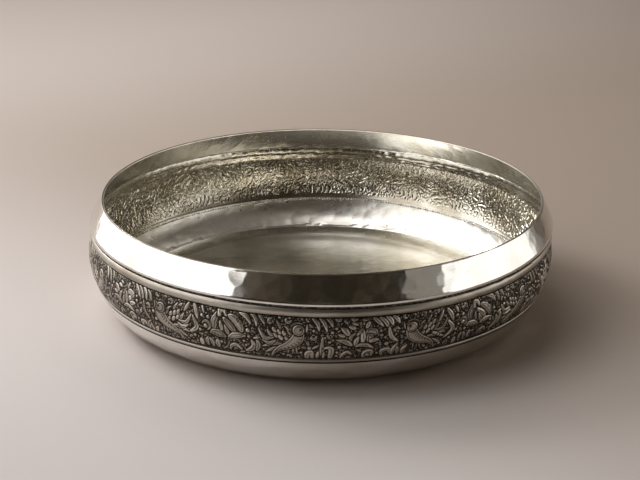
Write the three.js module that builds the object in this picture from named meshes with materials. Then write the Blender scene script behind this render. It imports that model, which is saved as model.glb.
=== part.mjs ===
// A wide, shallow bowl of hand-raised copper sheet, tinned all over, with a chased belt round its side.
// It is built up from a floor, a lower wall, a belt and an in-turned collar. Two narrow mouldings cover
// the lines where the wall pieces meet, thin films of brass spelter fill the scarfed laps between them,
// and a tin lining covers the inside. Millimetres, +Z up, origin at the middle of the underside.

import * as THREE from 'three';

// Driving dimensions.
const height = 80;
const mouthRadius = 150.4;
const shoulderRadius = 157.6;
const bellyRadius = 159.35;
const floorRadius = 122.4; // the flat part of the underside
const floorSeam = 118.4; // where the floor disc meets the wall's foot

const copper = 0.9; // thickness of the copper sheet
const tin = 0.2; // thickness of the tin lining
const fit = 0.1; // clearance between neighbouring pieces
const film = 0.4; // width of a film of spelter
const lap = 0.7; // how far each scarf slants along the wall
const turns = 48; // flat facets round the bowl

// Heights and radii along the outside of the wall, from the floor up.
const heelRise = 32.3; // radius of the curve that turns the floor up into the lower wall
const wallTop = 22.2;
const filletTop = 24.6;
const filletProud = 0.5;
const beltCurve = 37.3; // radius of the belly's curve
const bellyHeight = 43.3;
const beltTop = 54.8;
const beadTop = 60;
const beadProud = 1.6;
const beadChannel = 0.8; // depth of the bead's hollow, seen from inside
const shoulderBend = 65.2; // height of the corner that the shoulder's curve rounds off
const shoulderTop = 68.2;
const collarFoot = 156.2; // radius of the collar where its shoulder ends and its straight lean begins

// The wall as one line of stations. Each has its place on the outside of the sheet (x is the radius, y the
// height), how far a moulding stands out there, and how far the inside is hollowed behind the moulding.
const station = (radius, z, proud = 0, hollow = 0) => ({ at: new THREE.Vector2(radius, z), proud, hollow });

const steps = (count, make) => Array.from({ length: count + 1 }, (_, i) => make(i / count));

const floorLine = [station(0, 0), station(floorSeam, 0)];

const heelEnd = Math.acos(1 - wallTop / heelRise);
const wallLine = [
  station(floorSeam, 0),
  ...steps(6, (t) => {
    const turn = heelEnd * t;
    return station(floorRadius + heelRise * Math.sin(turn), heelRise * (1 - Math.cos(turn)));
  }),
];

const wallTopRadius = floorRadius + heelRise * Math.sin(heelEnd);
const beltRadius = (z) => bellyRadius - beltCurve + Math.sqrt(beltCurve ** 2 - (z - bellyHeight) ** 2);

const filletLine = steps(2, (t) => station(
  THREE.MathUtils.lerp(wallTopRadius, beltRadius(filletTop), t),
  THREE.MathUtils.lerp(wallTop, filletTop, t),
  filletProud * Math.sin(Math.PI * t),
));

const beltLine = steps(5, (t) => {
  const z = THREE.MathUtils.lerp(filletTop, beltTop, t);
  return station(beltRadius(z), z);
});

const beadLine = steps(4, (t) => station(
  THREE.MathUtils.lerp(beltRadius(beltTop), shoulderRadius, t),
  THREE.MathUtils.lerp(beltTop, beadTop, t),
  beadProud * Math.sin(Math.PI * t),
  beadChannel * Math.sin(Math.PI * t) ** 2,
));

const shoulder = new THREE.QuadraticBezierCurve(
  new THREE.Vector2(shoulderRadius, beadTop),
  new THREE.Vector2(shoulderRadius, shoulderBend),
  new THREE.Vector2(collarFoot, shoulderTop),
);
const collarLine = [
  ...shoulder.getPoints(4).map((p) => station(p.x, p.y)),
  station((collarFoot + mouthRadius) / 2, (shoulderTop + height) / 2),
  station(mouthRadius, height),
];

// The whole line, and where each piece of sheet starts and ends on it. Stretches that meet share a station.
const stretches = { floorLine, wallLine, filletLine, beltLine, beadLine, collarLine };
const wholeLine = [];
const reach = {};
for (const [name, stretch] of Object.entries(stretches)) {
  const first = Math.max(wholeLine.length - 1, 0);
  wholeLine.push(...stretch.slice(wholeLine.length ? 1 : 0));
  reach[name] = { first, last: wholeLine.length - 1 };
}

// Each station's directions: along the line towards the mouth, and square to it towards the inside.
wholeLine.forEach((s, i) => {
  const before = wholeLine[Math.max(i - 1, 0)].at;
  const after = wholeLine[Math.min(i + 1, wholeLine.length - 1)].at;
  s.along = after.clone().sub(before).normalize();
  s.inward = new THREE.Vector2(-s.along.y, s.along.x);
});

const outside = (s, shift = 0) => s.at.clone().addScaledVector(s.inward, -s.proud).addScaledVector(s.along, shift);
const inside = (s, depth, shift = 0) => s.at.clone().addScaledVector(s.inward, depth - s.hollow)
  .addScaledVector(s.along, shift);

// One piece of sheet. Each end stands back from its joint by the film or by the clearance alone, and the
// scarf carries the inside of that end on along the wall.
function sheetOutline({ first, last }, { start = 0, startLap = 0, end = 0, endLap = 0 }) {
  const line = wholeLine.slice(first, last + 1);
  const top = line.length - 1;
  const shift = (i) => (i === 0 ? start : 0) - (i === top ? end : 0);
  const slant = (i) => (i === 0 ? startLap : 0) + (i === top ? endLap : 0);
  const outer = line.map((s, i) => outside(s, shift(i)));
  const inner = line.map((s, i) => inside(s, copper, shift(i) + slant(i)));
  return [...outer, ...inner.reverse()];
}

// The film of spelter in the scarf at a joint.
function filmOutline(index) {
  const s = wholeLine[index];
  const half = film / 2;
  return [outside(s, -half), outside(s, half), inside(s, copper, lap + half), inside(s, copper, lap - half)];
}

// The lining follows the inside of the sheet from the middle of the floor to just below the cut edge.
function liningOutline() {
  const top = wholeLine.length - 1;
  const edge = (i) => (i === top ? -fit : 0);
  const back = wholeLine.map((s, i) => inside(s, copper + fit, edge(i)));
  const face = wholeLine.map((s, i) => inside(s, copper + fit + tin, edge(i)));
  return [...back, ...face.reverse()];
}

// A piece whose outline starts on the axis ends there too; any other outline is closed on itself.
function turned(outline) {
  const profile = outline[0].x === 0 ? outline : [...outline, outline[0].clone()];
  return new THREE.LatheGeometry(profile, turns).rotateX(Math.PI / 2);
}

const tinned = { color: 0xb5b0a6, roughness: 0.22, metalness: 1 };
const patinated = { color: 0x6f6961, roughness: 0.45, metalness: 1 };
const spelter = { color: 0xb08d4c, roughness: 0.4, metalness: 1 };
const wipedTin = { color: 0xa8a294, roughness: 0.28, metalness: 1 };

const bowl = new THREE.Group();

function add(name, outline, finish) {
  const mesh = new THREE.Mesh(turned(outline), new THREE.MeshStandardMaterial(finish));
  mesh.name = name;
  bowl.add(mesh);
}

const brazed = film / 2 + fit;
const butted = fit / 2;

add('floor_disc', sheetOutline(reach.floorLine, { end: brazed, endLap: lap }), tinned);
add('floor_braze', filmOutline(reach.floorLine.last), spelter);
add('lower_wall', sheetOutline(reach.wallLine, { start: brazed, startLap: lap, end: brazed, endLap: lap }), tinned);
add('lower_braze', filmOutline(reach.wallLine.last), spelter);
add('fillet_moulding', sheetOutline(reach.filletLine, { start: brazed, startLap: lap, end: butted }), tinned);
add('chased_belt', sheetOutline(reach.beltLine, { start: butted, end: butted }), patinated);
add('bead_moulding', sheetOutline(reach.beadLine, { start: butted, end: brazed, endLap: lap }), tinned);
add('upper_braze', filmOutline(reach.beadLine.last), spelter);
add('shoulder_collar', sheetOutline(reach.collarLine, { start: brazed, startLap: lap }), tinned);
add('tin_lining', liningOutline(), wipedTin);

export default bowl;
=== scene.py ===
# A wide, shallow bowl of hand-raised copper sheet, tinned silver-grey all over, with a chased belt of birds
# and palmettes round its side. Built from the floor up. Metres, +Z up, the photographed side facing -Y.

import math

import bmesh
import bpy
import numpy as np
from mathutils import Matrix, Vector


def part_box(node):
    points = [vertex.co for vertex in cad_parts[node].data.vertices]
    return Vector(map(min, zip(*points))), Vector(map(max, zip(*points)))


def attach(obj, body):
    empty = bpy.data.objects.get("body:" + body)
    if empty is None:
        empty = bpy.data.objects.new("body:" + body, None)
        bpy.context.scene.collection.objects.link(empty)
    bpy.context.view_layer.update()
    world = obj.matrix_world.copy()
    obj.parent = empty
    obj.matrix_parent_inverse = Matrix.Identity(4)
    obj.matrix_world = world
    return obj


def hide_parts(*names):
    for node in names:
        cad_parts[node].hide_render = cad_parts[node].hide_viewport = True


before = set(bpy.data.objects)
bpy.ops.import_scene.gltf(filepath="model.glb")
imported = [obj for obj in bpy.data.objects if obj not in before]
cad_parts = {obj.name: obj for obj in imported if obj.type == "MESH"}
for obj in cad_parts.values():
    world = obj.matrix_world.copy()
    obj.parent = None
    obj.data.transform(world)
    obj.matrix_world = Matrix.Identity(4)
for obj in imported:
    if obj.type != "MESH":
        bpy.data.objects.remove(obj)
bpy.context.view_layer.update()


# Floor sheet
# The flat round of copper sheet that the bowl stands on, tinned over its underside. It was planished on a
# flat stake, and its edge is scarfed over the foot of the wall and brazed there.

MM = 0.001
TURN = 2 * math.pi
all_round = (-math.pi, math.pi)
copper = 0.9 * MM
film = 0.4 * MM
lap = 0.7 * MM
clearance = 0.1 * MM
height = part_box("shoulder_collar")[1].z
floor_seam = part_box("floor_braze")[1].x - lap - film / 2

# How far the finished bowl is out of true: three shallow lobes, a body that stands a little to one side
# under its mouth, and chased lines that wander up and down over and under the belt.
lobe_depth = 0.3 * MM
lobe_turn = 0.6
body_shift = 2.4 * MM
upper_line = 58 * MM
lower_line = 23 * MM
line_reach = 22 * MM
upper_waves = [(2, 0.56 * MM, 2.6), (3, 0.57 * MM, 1.6)]
lower_waves = [(2, 0.75 * MM, 1.0), (3, 0.70 * MM, -2.6)]


def wander(waves, angle):
    """How far a chased line strays up. Each wave has its count round the bowl, its size and its turn."""
    return sum(size * np.cos(count * angle + turn) for count, size, turn in waves)


def hand_shaped(points):
    """The points, out of true as the hammer left them. The underside stays flat."""
    x, y, z = points[..., 0], points[..., 1], points[..., 2]
    angle = np.arctan2(x, -y)
    rise = np.clip(z / height, 0, 1)
    radius = np.maximum(np.hypot(x, y), 1e-9)
    lobes = lobe_depth * np.cos(3 * angle + lobe_turn) * rise * np.clip(radius / floor_seam, 0, 1)
    swell = 1 + lobes / radius
    near_upper = np.clip(1 - np.abs(z - upper_line) / line_reach, 0, 1)
    near_lower = np.clip(1 - np.abs(z - lower_line) / line_reach, 0, 1)
    near_lower = np.clip(near_lower * np.clip(radius / floor_seam - 1, 0, 1) * 3, 0, 1)
    strayed = z + wander(upper_waves, angle) * near_upper + wander(lower_waves, angle) * near_lower
    return np.stack([x * swell - body_shift * (1 - rise), y * swell, strayed], -1)


def inset(line, depth):
    """A line of radii and heights moved into the bowl, square to itself."""
    along = np.gradient(line, axis=0)
    along /= np.linalg.norm(along, axis=1, keepdims=True)
    return line + np.reshape(depth, (-1, 1)) * np.stack([-along[:, 1], along[:, 0]], -1)


def sheet_section(line, back, every):
    """The closed outline of a sheet: its fine outer line, then its plain back, one point in every few."""
    kept = [*range(len(line) - 1, 0, -every), 0]
    return np.concatenate([line, back[kept]])


def round_angles(columns, span=all_round):
    """Even angles round the bowl, where 0 is the photographed side."""
    return np.linspace(*span, columns, endpoint=span != all_round)


def turned_sheet(name, section, columns, push, bright=None, span=all_round):
    """A piece made round the bowl's axis from its closed outline, as radii and heights, with its worked side
    first. push[row, column] moves the first rows' points along their normals, and bright says how far the
    same points are rubbed, for the material. A span short of a whole turn gets two ends."""
    rows = len(section)
    whole = span == all_round
    angles = round_angles(columns, span)
    along = np.roll(section, -1, 0) - np.roll(section, 1, 0)
    normals = np.stack([along[:, 1], -along[:, 0]], -1)
    normals /= np.linalg.norm(normals, axis=1, keepdims=True)
    moved = np.zeros((rows, columns))
    moved[: len(push)] = push
    radius = section[:, :1] + normals[:, :1] * moved
    level = section[:, 1:] + normals[:, 1:] * moved
    points = hand_shaped(np.stack([radius * np.sin(angles), -radius * np.cos(angles), level], -1))

    number = np.arange(rows * columns).reshape(rows, columns)
    beside = np.roll(number, -1, 1)
    quads = np.stack([number, beside, np.roll(beside, -1, 0), np.roll(number, -1, 0)], -1)
    on_axis = section[:, 0] < 1e-9
    quads = quads[~(on_axis & np.roll(on_axis, -1))]
    faces = quads[:, : columns if whole else columns - 1].reshape(-1, 4).tolist()
    if not whole:
        faces += [number[:, 0].tolist(), number[::-1, -1].tolist()]

    mesh = bpy.data.meshes.new(name)
    mesh.from_pydata(points.reshape(-1, 3).tolist(), [], faces)
    if bright is not None:
        rubbed = np.zeros((rows, columns), np.float32)
        rubbed[: len(bright)] = bright
        mesh.attributes.new("bright", "FLOAT", "POINT").data.foreach_set("value", rubbed.ravel())
    if on_axis.any():
        worked = bmesh.new()
        worked.from_mesh(mesh)
        bmesh.ops.remove_doubles(worked, verts=worked.verts, dist=1e-7)
        worked.to_mesh(mesh)
        worked.free()
    return piece_of(name, mesh)


def piece_of(name, mesh):
    """A mesh as an object of the scene, shaded smooth except over its sharp edges."""
    mesh.shade_smooth()
    mesh.set_sharp_from_angle(angle=math.radians(55))
    piece = bpy.data.objects.new(name, mesh)
    bpy.context.scene.collection.objects.link(piece)
    return piece


def nearby_blows(across, along, blow, aim, lowest):
    """The nine blows of a staggered pattern that fell nearest each point: each one's row and column in the
    pattern, and how far the point is from it across and along."""
    for down in (-1, 0, 1):
        row = np.floor(along / blow[1]).astype(int) + down - lowest
        stagger = 0.5 * (row % 2)
        for side in (-1, 0, 1):
            place = np.floor(across / blow[0] - stagger).astype(int) + side
            column = place % aim.shape[1]
            dx = across - (place + 0.5 + stagger + aim[row, column, 0]) * blow[0]
            dy = along - (row + lowest + 0.5 + aim[row, column, 1]) * blow[1]
            yield row, column, dx, dy


# How far a blow misses its place, as a share of their spacing, how much deeper than the next it may go,
# and how soft the ridge between two blows is.
blow_missed = 0.34
blow_deeper = 0.02 * MM
blow_ridge = 0.012 * MM


def hammer_blows(across, along, girth, blow, curve, seed, lean=0.0):
    """The surface that overlapping hammer blows leave on an unrolled sheet, highest on the soft ridges
    between them. blow is the blows' spacing across and along, and curve the radii of the hollow they cut."""
    rng = np.random.default_rng(seed)
    count = round(girth / blow[0])
    lowest = math.floor(along.min() / blow[1]) - 2
    rows = math.ceil(along.max() / blow[1]) + 3 - lowest
    aim = rng.uniform(-blow_missed, blow_missed, (rows, count, 2))
    tilt = rng.normal(0, lean, (rows, count, 2))
    depth = rng.uniform(0, blow_deeper, (rows, count))
    total = 0
    for row, column, dx, dy in nearby_blows(across, along, (girth / count, blow[1]), aim, lowest):
        face = dx**2 / (2 * curve[0]) + dy**2 / (2 * curve[1]) - depth[row, column]
        face = face + tilt[row, column, 0] * dx + tilt[row, column, 1] * dy
        total = total + np.exp(-face / blow_ridge)
    return -blow_ridge * np.log(total)


def blows_on_a_round(line, columns, width, blow, curve, seed, lean=0.0):
    """Hammer blows over a flat round sheet, at each point of its turned line."""
    angles = round_angles(columns)
    x = line[:, :1] * np.sin(angles)
    y = line[:, :1] * np.cos(angles)
    return hammer_blows(x + width / 2, y, width, (blow, blow), (curve, curve), seed, lean)


class Link:
    """A socket of a node tree. Arithmetic on it adds Math nodes."""

    def __init__(self, nodes, socket):
        self.nodes = nodes
        self.socket = socket

    def math(self, operation, first, second):
        return self.nodes.node("ShaderNodeMath", {"operation": operation}, {0: first, 1: second})

    def __add__(self, other):
        return self.math("ADD", self, other)

    def __radd__(self, other):
        return self.math("ADD", other, self)

    def __sub__(self, other):
        return self.math("SUBTRACT", self, other)

    def __rsub__(self, other):
        return self.math("SUBTRACT", other, self)

    def __mul__(self, other):
        return self.math("MULTIPLY", self, other)

    def __rmul__(self, other):
        return self.math("MULTIPLY", other, self)

    def __rtruediv__(self, other):
        return self.math("DIVIDE", other, self)


class Nodes:
    """A node tree, filled by one call for each node: its type, its settings, its sockets' values or links."""

    def __init__(self, tree):
        self.tree = tree

    def node(self, kind, settings, sockets, output=0):
        made = self.tree.nodes.new(kind)
        for name, value in settings.items():
            setattr(made, name, value)
        for name, value in sockets.items():
            if isinstance(value, Link):
                self.tree.links.new(value.socket, made.inputs[name])
            elif made.inputs[name].type == "RGBA":
                made.inputs[name].default_value = (*value, 1)
            else:
                made.inputs[name].default_value = value
        return Link(self, made.outputs[output]) if made.outputs else None

    def step(self, value, low, high):
        """0 at low and 1 at high, with a soft change between."""
        sockets = {"Value": value, "From Min": low, "From Max": high}
        return self.node("ShaderNodeMapRange", {"interpolation_type": "SMOOTHSTEP"}, sockets)

    def blend(self, share, first, second):
        return self.node("ShaderNodeMix", {"data_type": "RGBA"}, {0: share, 6: first, 7: second}, 2)


class Finish(Nodes):
    """One finish, as a material."""

    def __init__(self, name):
        self.material = bpy.data.materials.new(name)
        self.material.use_nodes = True
        super().__init__(self.material.node_tree)
        self.tree.nodes.clear()

    def place(self, stretch=(1, 1, 1)):
        """Where the point is, stretched along the axes."""
        here = self.node("ShaderNodeTexCoord", {}, {}, "Object")
        return self.node("ShaderNodeMapping", {}, {"Vector": here, "Scale": stretch})

    def along(self, axis):
        """How far along one axis the point is."""
        return self.node("ShaderNodeSeparateXYZ", {}, {"Vector": self.place()}, axis)

    def clouds(self, size, detail=3, where=None):
        """Noise from 0 to 1 in blobs about size across."""
        sockets = {"Vector": where or self.place(), "Scale": 1 / size, "Detail": detail}
        return self.node("ShaderNodeTexNoise", {}, sockets, "Fac")

    def mark(self, name):
        """A value that the mesh carries at each point."""
        return self.node("ShaderNodeAttribute", {"attribute_name": name}, {}, "Fac")

    def bumps(self, heights, depth):
        return self.node("ShaderNodeBump", {}, {"Height": heights, "Distance": depth, "Strength": 1.0})

    def metal(self, colour, roughness, normal, metallic=1.0, sheen=0.5):
        """The finished material. sheen is how much its patina mirrors, where it isn't bare metal."""
        sockets = {
            "Base Color": colour, "Roughness": roughness, "Normal": normal, "Metallic": metallic,
            "Specular IOR Level": sheen,
        }
        surface = self.node("ShaderNodeBsdfPrincipled", {}, sockets)
        self.node("ShaderNodeOutputMaterial", {}, {"Surface": surface})
        return self.material


bright_tin = (0.83, 0.81, 0.775)
warm_tin = (0.70, 0.66, 0.59)
dull_tin = (0.42, 0.385, 0.33)
worn_copper = (0.20, 0.165, 0.13)
edge_worn = 0.8 * MM
edge_bare = 0.45 * MM


def worn_edge(finish):
    """1 along the filed edge of the mouth, where the tin is worn down to browned copper."""
    return finish.step(finish.along("Z"), height - edge_worn, height - edge_bare)


def tinned(name, roughness, dullness, wiped=0.02 * MM, clean=bright_tin, stained=warm_tin):
    """Tin wiped over copper by hand: warmer and cooler clouds, dull specks, and faint wiping scratches."""
    finish = Finish(name)
    clouds = finish.clouds(45 * MM, 4)
    specks = finish.clouds(1.6 * MM, 2)
    wipes = finish.clouds(1.1 * MM, 2, finish.place((0.12, 0.12, 1.0)))
    dull = finish.step(specks, 0.60, 0.80) * dullness
    colour = finish.blend(finish.step(clouds, 0.42, 0.66), clean, stained)
    colour = finish.blend(dull, colour, dull_tin)
    edge = worn_edge(finish)
    colour = finish.blend(edge, colour, worn_copper)
    rough = roughness + finish.step(clouds, 0.38, 0.72) * 0.05 + dull * 0.3 + wipes * 0.04 + edge * 0.5
    return finish.metal(colour, rough, finish.bumps(wipes + specks * 0.5, wiped))


def fitted(piece, material, slot, *nodes):
    """The piece takes its finish, goes with the bowl and stands for its nodes of the frame."""
    piece.data.materials.clear()
    piece.data.materials.append(material)
    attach(piece, "root")
    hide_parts(*nodes)


seam_half = film / 2 + clearance
floor_columns = 360
floor_blow = 12 * MM
floor_hollow = 0.6
floor_edge = floor_seam - seam_half
floor_line = np.array([(r, 0) for r in np.linspace(0, floor_edge, 60)])
floor_back = [(floor_edge + lap, copper), (floor_edge / 2, copper), (0, copper)]
floor_section = np.concatenate([floor_line, floor_back])

floor_dents = blows_on_a_round(floor_line, floor_columns, 2 * floor_seam, floor_blow, floor_hollow, seed=11)
floor_dents -= floor_dents.max()
floor_dents[0] = floor_dents[0].mean()
floor_dents[-1] = 0
floor_sheet = turned_sheet("floor_sheet", floor_section, floor_columns, floor_dents)
plain_tin = tinned("plain_tin", roughness=0.14, dullness=0.35)
fitted(floor_sheet, plain_tin, "tinned_copper", "floor_disc")


# Floor seam
# The line of brass spelter that joins the floor to the wall. It was filed flush and tinned over, and it
# shows only underneath, as a fine yellower ring.

ring_steps = 480


class Shaping(Nodes):
    """Geometry nodes with named inputs, made for the sizes of several pieces."""

    def __init__(self, name, inputs):
        super().__init__(bpy.data.node_groups.new(name, "GeometryNodeTree"))
        for label, kind in {"Start": "Geometry", **inputs, "Finish": "Material"}.items():
            self.tree.interface.new_socket(label, in_out="INPUT", socket_type="NodeSocket" + kind)
        self.tree.interface.new_socket("Piece", in_out="OUTPUT", socket_type="NodeSocketGeometry")
        self.start = self.tree.nodes.new("NodeGroupInput")

    def given(self, label):
        return Link(self, self.start.outputs[label])

    def ends(self, geometry):
        real = self.node("GeometryNodeRealizeInstances", {}, {"Geometry": geometry})
        done = self.node("GeometryNodeSetMaterial", {}, {"Geometry": real, "Material": self.given("Finish")})
        self.node("NodeGroupOutput", {}, {"Piece": done})

    def piece(self, name, start, values):
        """A plain piece, shaped by the tree from a start mesh with these values for its inputs."""
        worked = bpy.data.objects.new(name + "_start", start)
        bpy.context.scene.collection.objects.link(worked)
        modifier = worked.modifiers.new("shaping", "NODES")
        modifier.node_group = self.tree
        for socket in self.tree.interface.items_tree:
            if socket.in_out == "INPUT" and socket.name in values:
                modifier[socket.identifier] = values[socket.name]
        shaped = worked.evaluated_get(bpy.context.evaluated_depsgraph_get())
        mesh = bpy.data.meshes.new_from_object(shaped)
        worked.modifiers.clear()
        bpy.data.objects.remove(worked)
        tidied = bmesh.new()
        tidied.from_mesh(mesh)
        bmesh.ops.recalc_face_normals(tidied, faces=tidied.faces)
        tidied.to_mesh(mesh)
        tidied.free()
        places = np.empty(3 * len(mesh.vertices))
        mesh.vertices.foreach_get("co", places)
        mesh.vertices.foreach_set("co", hand_shaped(places.reshape(-1, 3)).ravel())
        mesh.name = name
        return piece_of(name, mesh)


moulding = Shaping("profile_round_the_bowl", {
    "Ring radius": "Float", "Ring height": "Float", "Steps": "Int", "Unevenness": "Float",
    "Unevenness size": "Float",
})
rail = moulding.node(
    "GeometryNodeCurvePrimitiveCircle", {},
    {"Radius": moulding.given("Ring radius"), "Resolution": moulding.given("Steps")},
)
rail = moulding.node("GeometryNodeSetCurveNormal", {"mode": "Z_UP"}, {"Curve": rail})
profile = moulding.node("GeometryNodeMeshToCurve", {}, {"Mesh": moulding.given("Start")})
swept = moulding.node("GeometryNodeCurveToMesh", {}, {"Curve": rail, "Profile Curve": profile})
sway = moulding.node("ShaderNodeTexNoise", {}, {"Scale": 1 / moulding.given("Unevenness size")}, "Fac")
sway = (sway - 0.5) * moulding.given("Unevenness")
square = moulding.node("GeometryNodeInputNormal", {}, {})
sway = moulding.node("ShaderNodeVectorMath", {"operation": "SCALE"}, {"Vector": square, "Scale": sway})
swept = moulding.node("GeometryNodeSetPosition", {}, {"Geometry": swept, "Offset": sway})
lift = moulding.node("ShaderNodeCombineXYZ", {}, {"Z": moulding.given("Ring height")})
moulding.ends(moulding.node("GeometryNodeTransform", {}, {"Geometry": swept, "Translation": lift}))


def ring(name, finish, foot, along, outline, unevenness=0.0, unevenness_size=6 * MM):
    """A moulding or a seam all round the bowl. foot is where its outline starts, along the direction up the
    wall there, and each point of the closed outline is a way along that and a way out from the wall."""
    along = Vector(along).normalized()
    out = Vector((along.y, -along.x))
    points = [along * a + out * o for a, o in outline]
    start = bpy.data.meshes.new(name + "_profile")
    edges = [(i, (i + 1) % len(points)) for i in range(len(points))]
    start.from_pydata([(p.x, -p.y, 0) for p in points], edges, [])
    return moulding.piece(name, start, {
        "Ring radius": foot[0], "Ring height": foot[1], "Steps": ring_steps, "Unevenness": unevenness,
        "Unevenness size": unevenness_size, "Finish": finish,
    })


brass_spelter = (0.62, 0.47, 0.27)
spelter = Finish("spelter")
speckle = spelter.clouds(1.2 * MM)
spelter_colour = spelter.blend(spelter.step(speckle, 0.35, 0.65), brass_spelter, warm_tin)
spelter = spelter.metal(spelter_colour, 0.22 + speckle * 0.15, spelter.bumps(speckle, 0.03 * MM))

floor_seam_line = ring(
    "floor_seam_line", spelter, (floor_seam, 0), (1, 0),
    [(-film / 2, 0), (film / 2, 0), (film / 2 + lap, -copper), (lap - film / 2, -copper)],
)
fitted(floor_seam_line, spelter, "spelter", "floor_braze")


# Lower wall
# The plain raised ring that turns the floor up into the side. It was planished on a round stake in rows of
# broad, soft blows, brazed to the floor at its foot, and cut back at its head for the lined moulding.

floor_radius = 122.4 * MM
heel_rise = 32.3 * MM
wall_top = 22.2 * MM
dark_line = 1.2 * MM
wall_blow = 13 * MM
wall_blows_start = 1 * MM
wall_blows_settle = 6 * MM
wall_columns = 960
heel_end = math.acos(1 - wall_top / heel_rise)


def heel_arc(first, last, count):
    """Points on the curve from the floor into the wall, between two of its turns."""
    turn = np.linspace(first, last, count)
    return np.stack([floor_radius + heel_rise * np.sin(turn), heel_rise * (1 - np.cos(turn))], -1)


def way_along(line):
    """How far along a line each of its points is."""
    steps = np.linalg.norm(np.diff(line, axis=0), axis=1)
    return np.concatenate([[0], np.cumsum(steps)])


def blows_on_a_wall(line, columns, blow, curve, seed, lean):
    """Hammer blows on a sheet turned round the bowl, at each point of its line, as if it were unrolled."""
    across, along = np.meshgrid((round_angles(columns) + math.pi) * belly_radius, way_along(line))
    return hammer_blows(across, along, TURN * belly_radius, blow, curve, seed, lean)


belly_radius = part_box("chased_belt")[1].x
foot_of_wall = np.array([(r, 0) for r in np.linspace(floor_seam + seam_half, floor_radius, 5)[:-1]])
wall_arc = heel_arc(0, heel_end - dark_line / 2 / heel_rise, 40)
wall_line = np.concatenate([foot_of_wall, wall_arc])
wall_section = sheet_section(wall_line, inset(wall_line, copper), 5)
wall_dents = blows_on_a_wall(
    wall_line, wall_columns, (wall_blow, wall_blow), (0.19, 0.07), seed=21, lean=0.002
)
wall_dents -= wall_dents.mean()
wall_dents *= np.clip((wall_line[:, 1:] - wall_blows_start) / wall_blows_settle, 0, 1)
wall_sheet = turned_sheet("wall_sheet", wall_section, wall_columns, wall_dents)
fitted(wall_sheet, plain_tin, "tinned_copper", "lower_wall")


# Dark line
# The fine line chased under the moulding. The braze between the lower wall and the belt lies in it, tinned
# over, and dirt and patina have filled it dark brown.

dark_patina = (0.020, 0.015, 0.011)
brown_patina = (0.058, 0.040, 0.026)
line_depth = 0.5 * MM
lip_depth = 0.05 * MM


def patinated(name):
    """Old patina and polish residue that fill a chased line, matt and nearly black."""
    finish = Finish(name)
    crust = finish.clouds(0.8 * MM, 4)
    colour = finish.blend(finish.step(crust, 0.3, 0.7), dark_patina, brown_patina)
    return finish.metal(colour, 0.45 + crust * 0.2, finish.bumps(crust, 0.08 * MM), metallic=0.2, sheen=0.2)


def sunk_line(low, high, slope, depth):
    """The outline of a line sunk into the wall, between two ways along it. slope is how much of its width
    each of its sides takes."""
    side = slope * (high - low)
    lips = [(low, -lip_depth), (low + side, -depth), (high - side, -depth), (high, -lip_depth)]
    return [*lips, (high, -copper), (low, -copper)]


line_patina = patinated("line_patina")
wall_top_at = (floor_radius + heel_rise * math.sin(heel_end), wall_top)
wall_top_along = (math.cos(heel_end), math.sin(heel_end))
half_line = dark_line / 2
chased_line = ring(
    "chased_line", line_patina, wall_top_at, wall_top_along,
    sunk_line(-half_line, half_line, 1 / 3, line_depth), unevenness=0.25 * MM,
)
fitted(chased_line, line_patina, "spelter", "lower_braze")


# Lower moulding
# The narrow plain moulding between the dark line and the belt, raised from inside with a blunt tracer. Its
# tin is worn dull and warm, as the bead's is.

fillet_top = 24.6 * MM
fillet_proud = 0.4 * MM
belt_curve = 37.3 * MM
belly_height = 43.3 * MM


def belt_radius(z):
    """The belly's radius at a height."""
    return belly_radius - belt_curve + np.sqrt(belt_curve**2 - (z - belly_height) ** 2)


def half_round(length, proud, count):
    """The outline of a half-round moulding: its curved face, then its flat back."""
    share = np.linspace(0, 1, count)
    face = [(length * s, proud * math.sin(math.pi * s) ** 0.7) for s in share]
    return [*face, (length, -copper), (0, -copper)]


worn_tin = tinned(
    "worn_tin", roughness=0.34, dullness=0.8, wiped=0.05 * MM, clean=(0.48, 0.445, 0.39),
    stained=(0.34, 0.30, 0.245),
)
fillet_foot = Vector(wall_top_at) + Vector(wall_top_along) * half_line
fillet_head = Vector((belt_radius(fillet_top), fillet_top))
fillet_ring = ring(
    "fillet_ring", worn_tin, fillet_foot, fillet_head - fillet_foot,
    half_round((fillet_head - fillet_foot).length, fillet_proud, 9), unevenness=0.25 * MM,
)
fitted(fillet_ring, worn_tin, "tinned_copper", "fillet_moulding")


# Chased belt
# The ornamented ring of the side. Its palmettes, birds and sprays were outlined with a tracer and the ground
# between them was sunk with ring punches, then blackened with patina and the high spots rubbed bright.

belt_top = 54.8 * MM
motif_girth = TURN * 157 * MM
grid_pitch = 0.2 * MM
belt_columns = 1180
belt_rows = 74

# The motifs: the cut round each lobe, its rise over the ground, the veins and contours cut into it, and how
# far the hand strayed.
outline_width = 0.6 * MM
outline_depth = 0.12 * MM
cut_flank = 0.25 * MM
motif_rise = 0.6 * MM
motif_flank = 0.12 * MM
edge_round = 1.3 * MM
broad_lobe = 1.8 * MM
contour_inset = 0.9 * MM
vein = 0.2 * MM
lobe_slip = 0.12 * MM
motif_slip = 0.35 * MM
motif_lean = 0.035
eye_size = 0.75 * MM
eye_depth = 0.35 * MM

# The ring punch that matted the ground. It missed its place by a share of its pitch, and the bottom of its
# ring keeps only a little shine.
punch_pitch = 1.3 * MM
punch_missed = 0.3
punch_shine = 0.08
punch_hollow = 0.58 * MM
punch_flank = 0.3 * MM
punch_rise = 0.2 * MM


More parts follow.
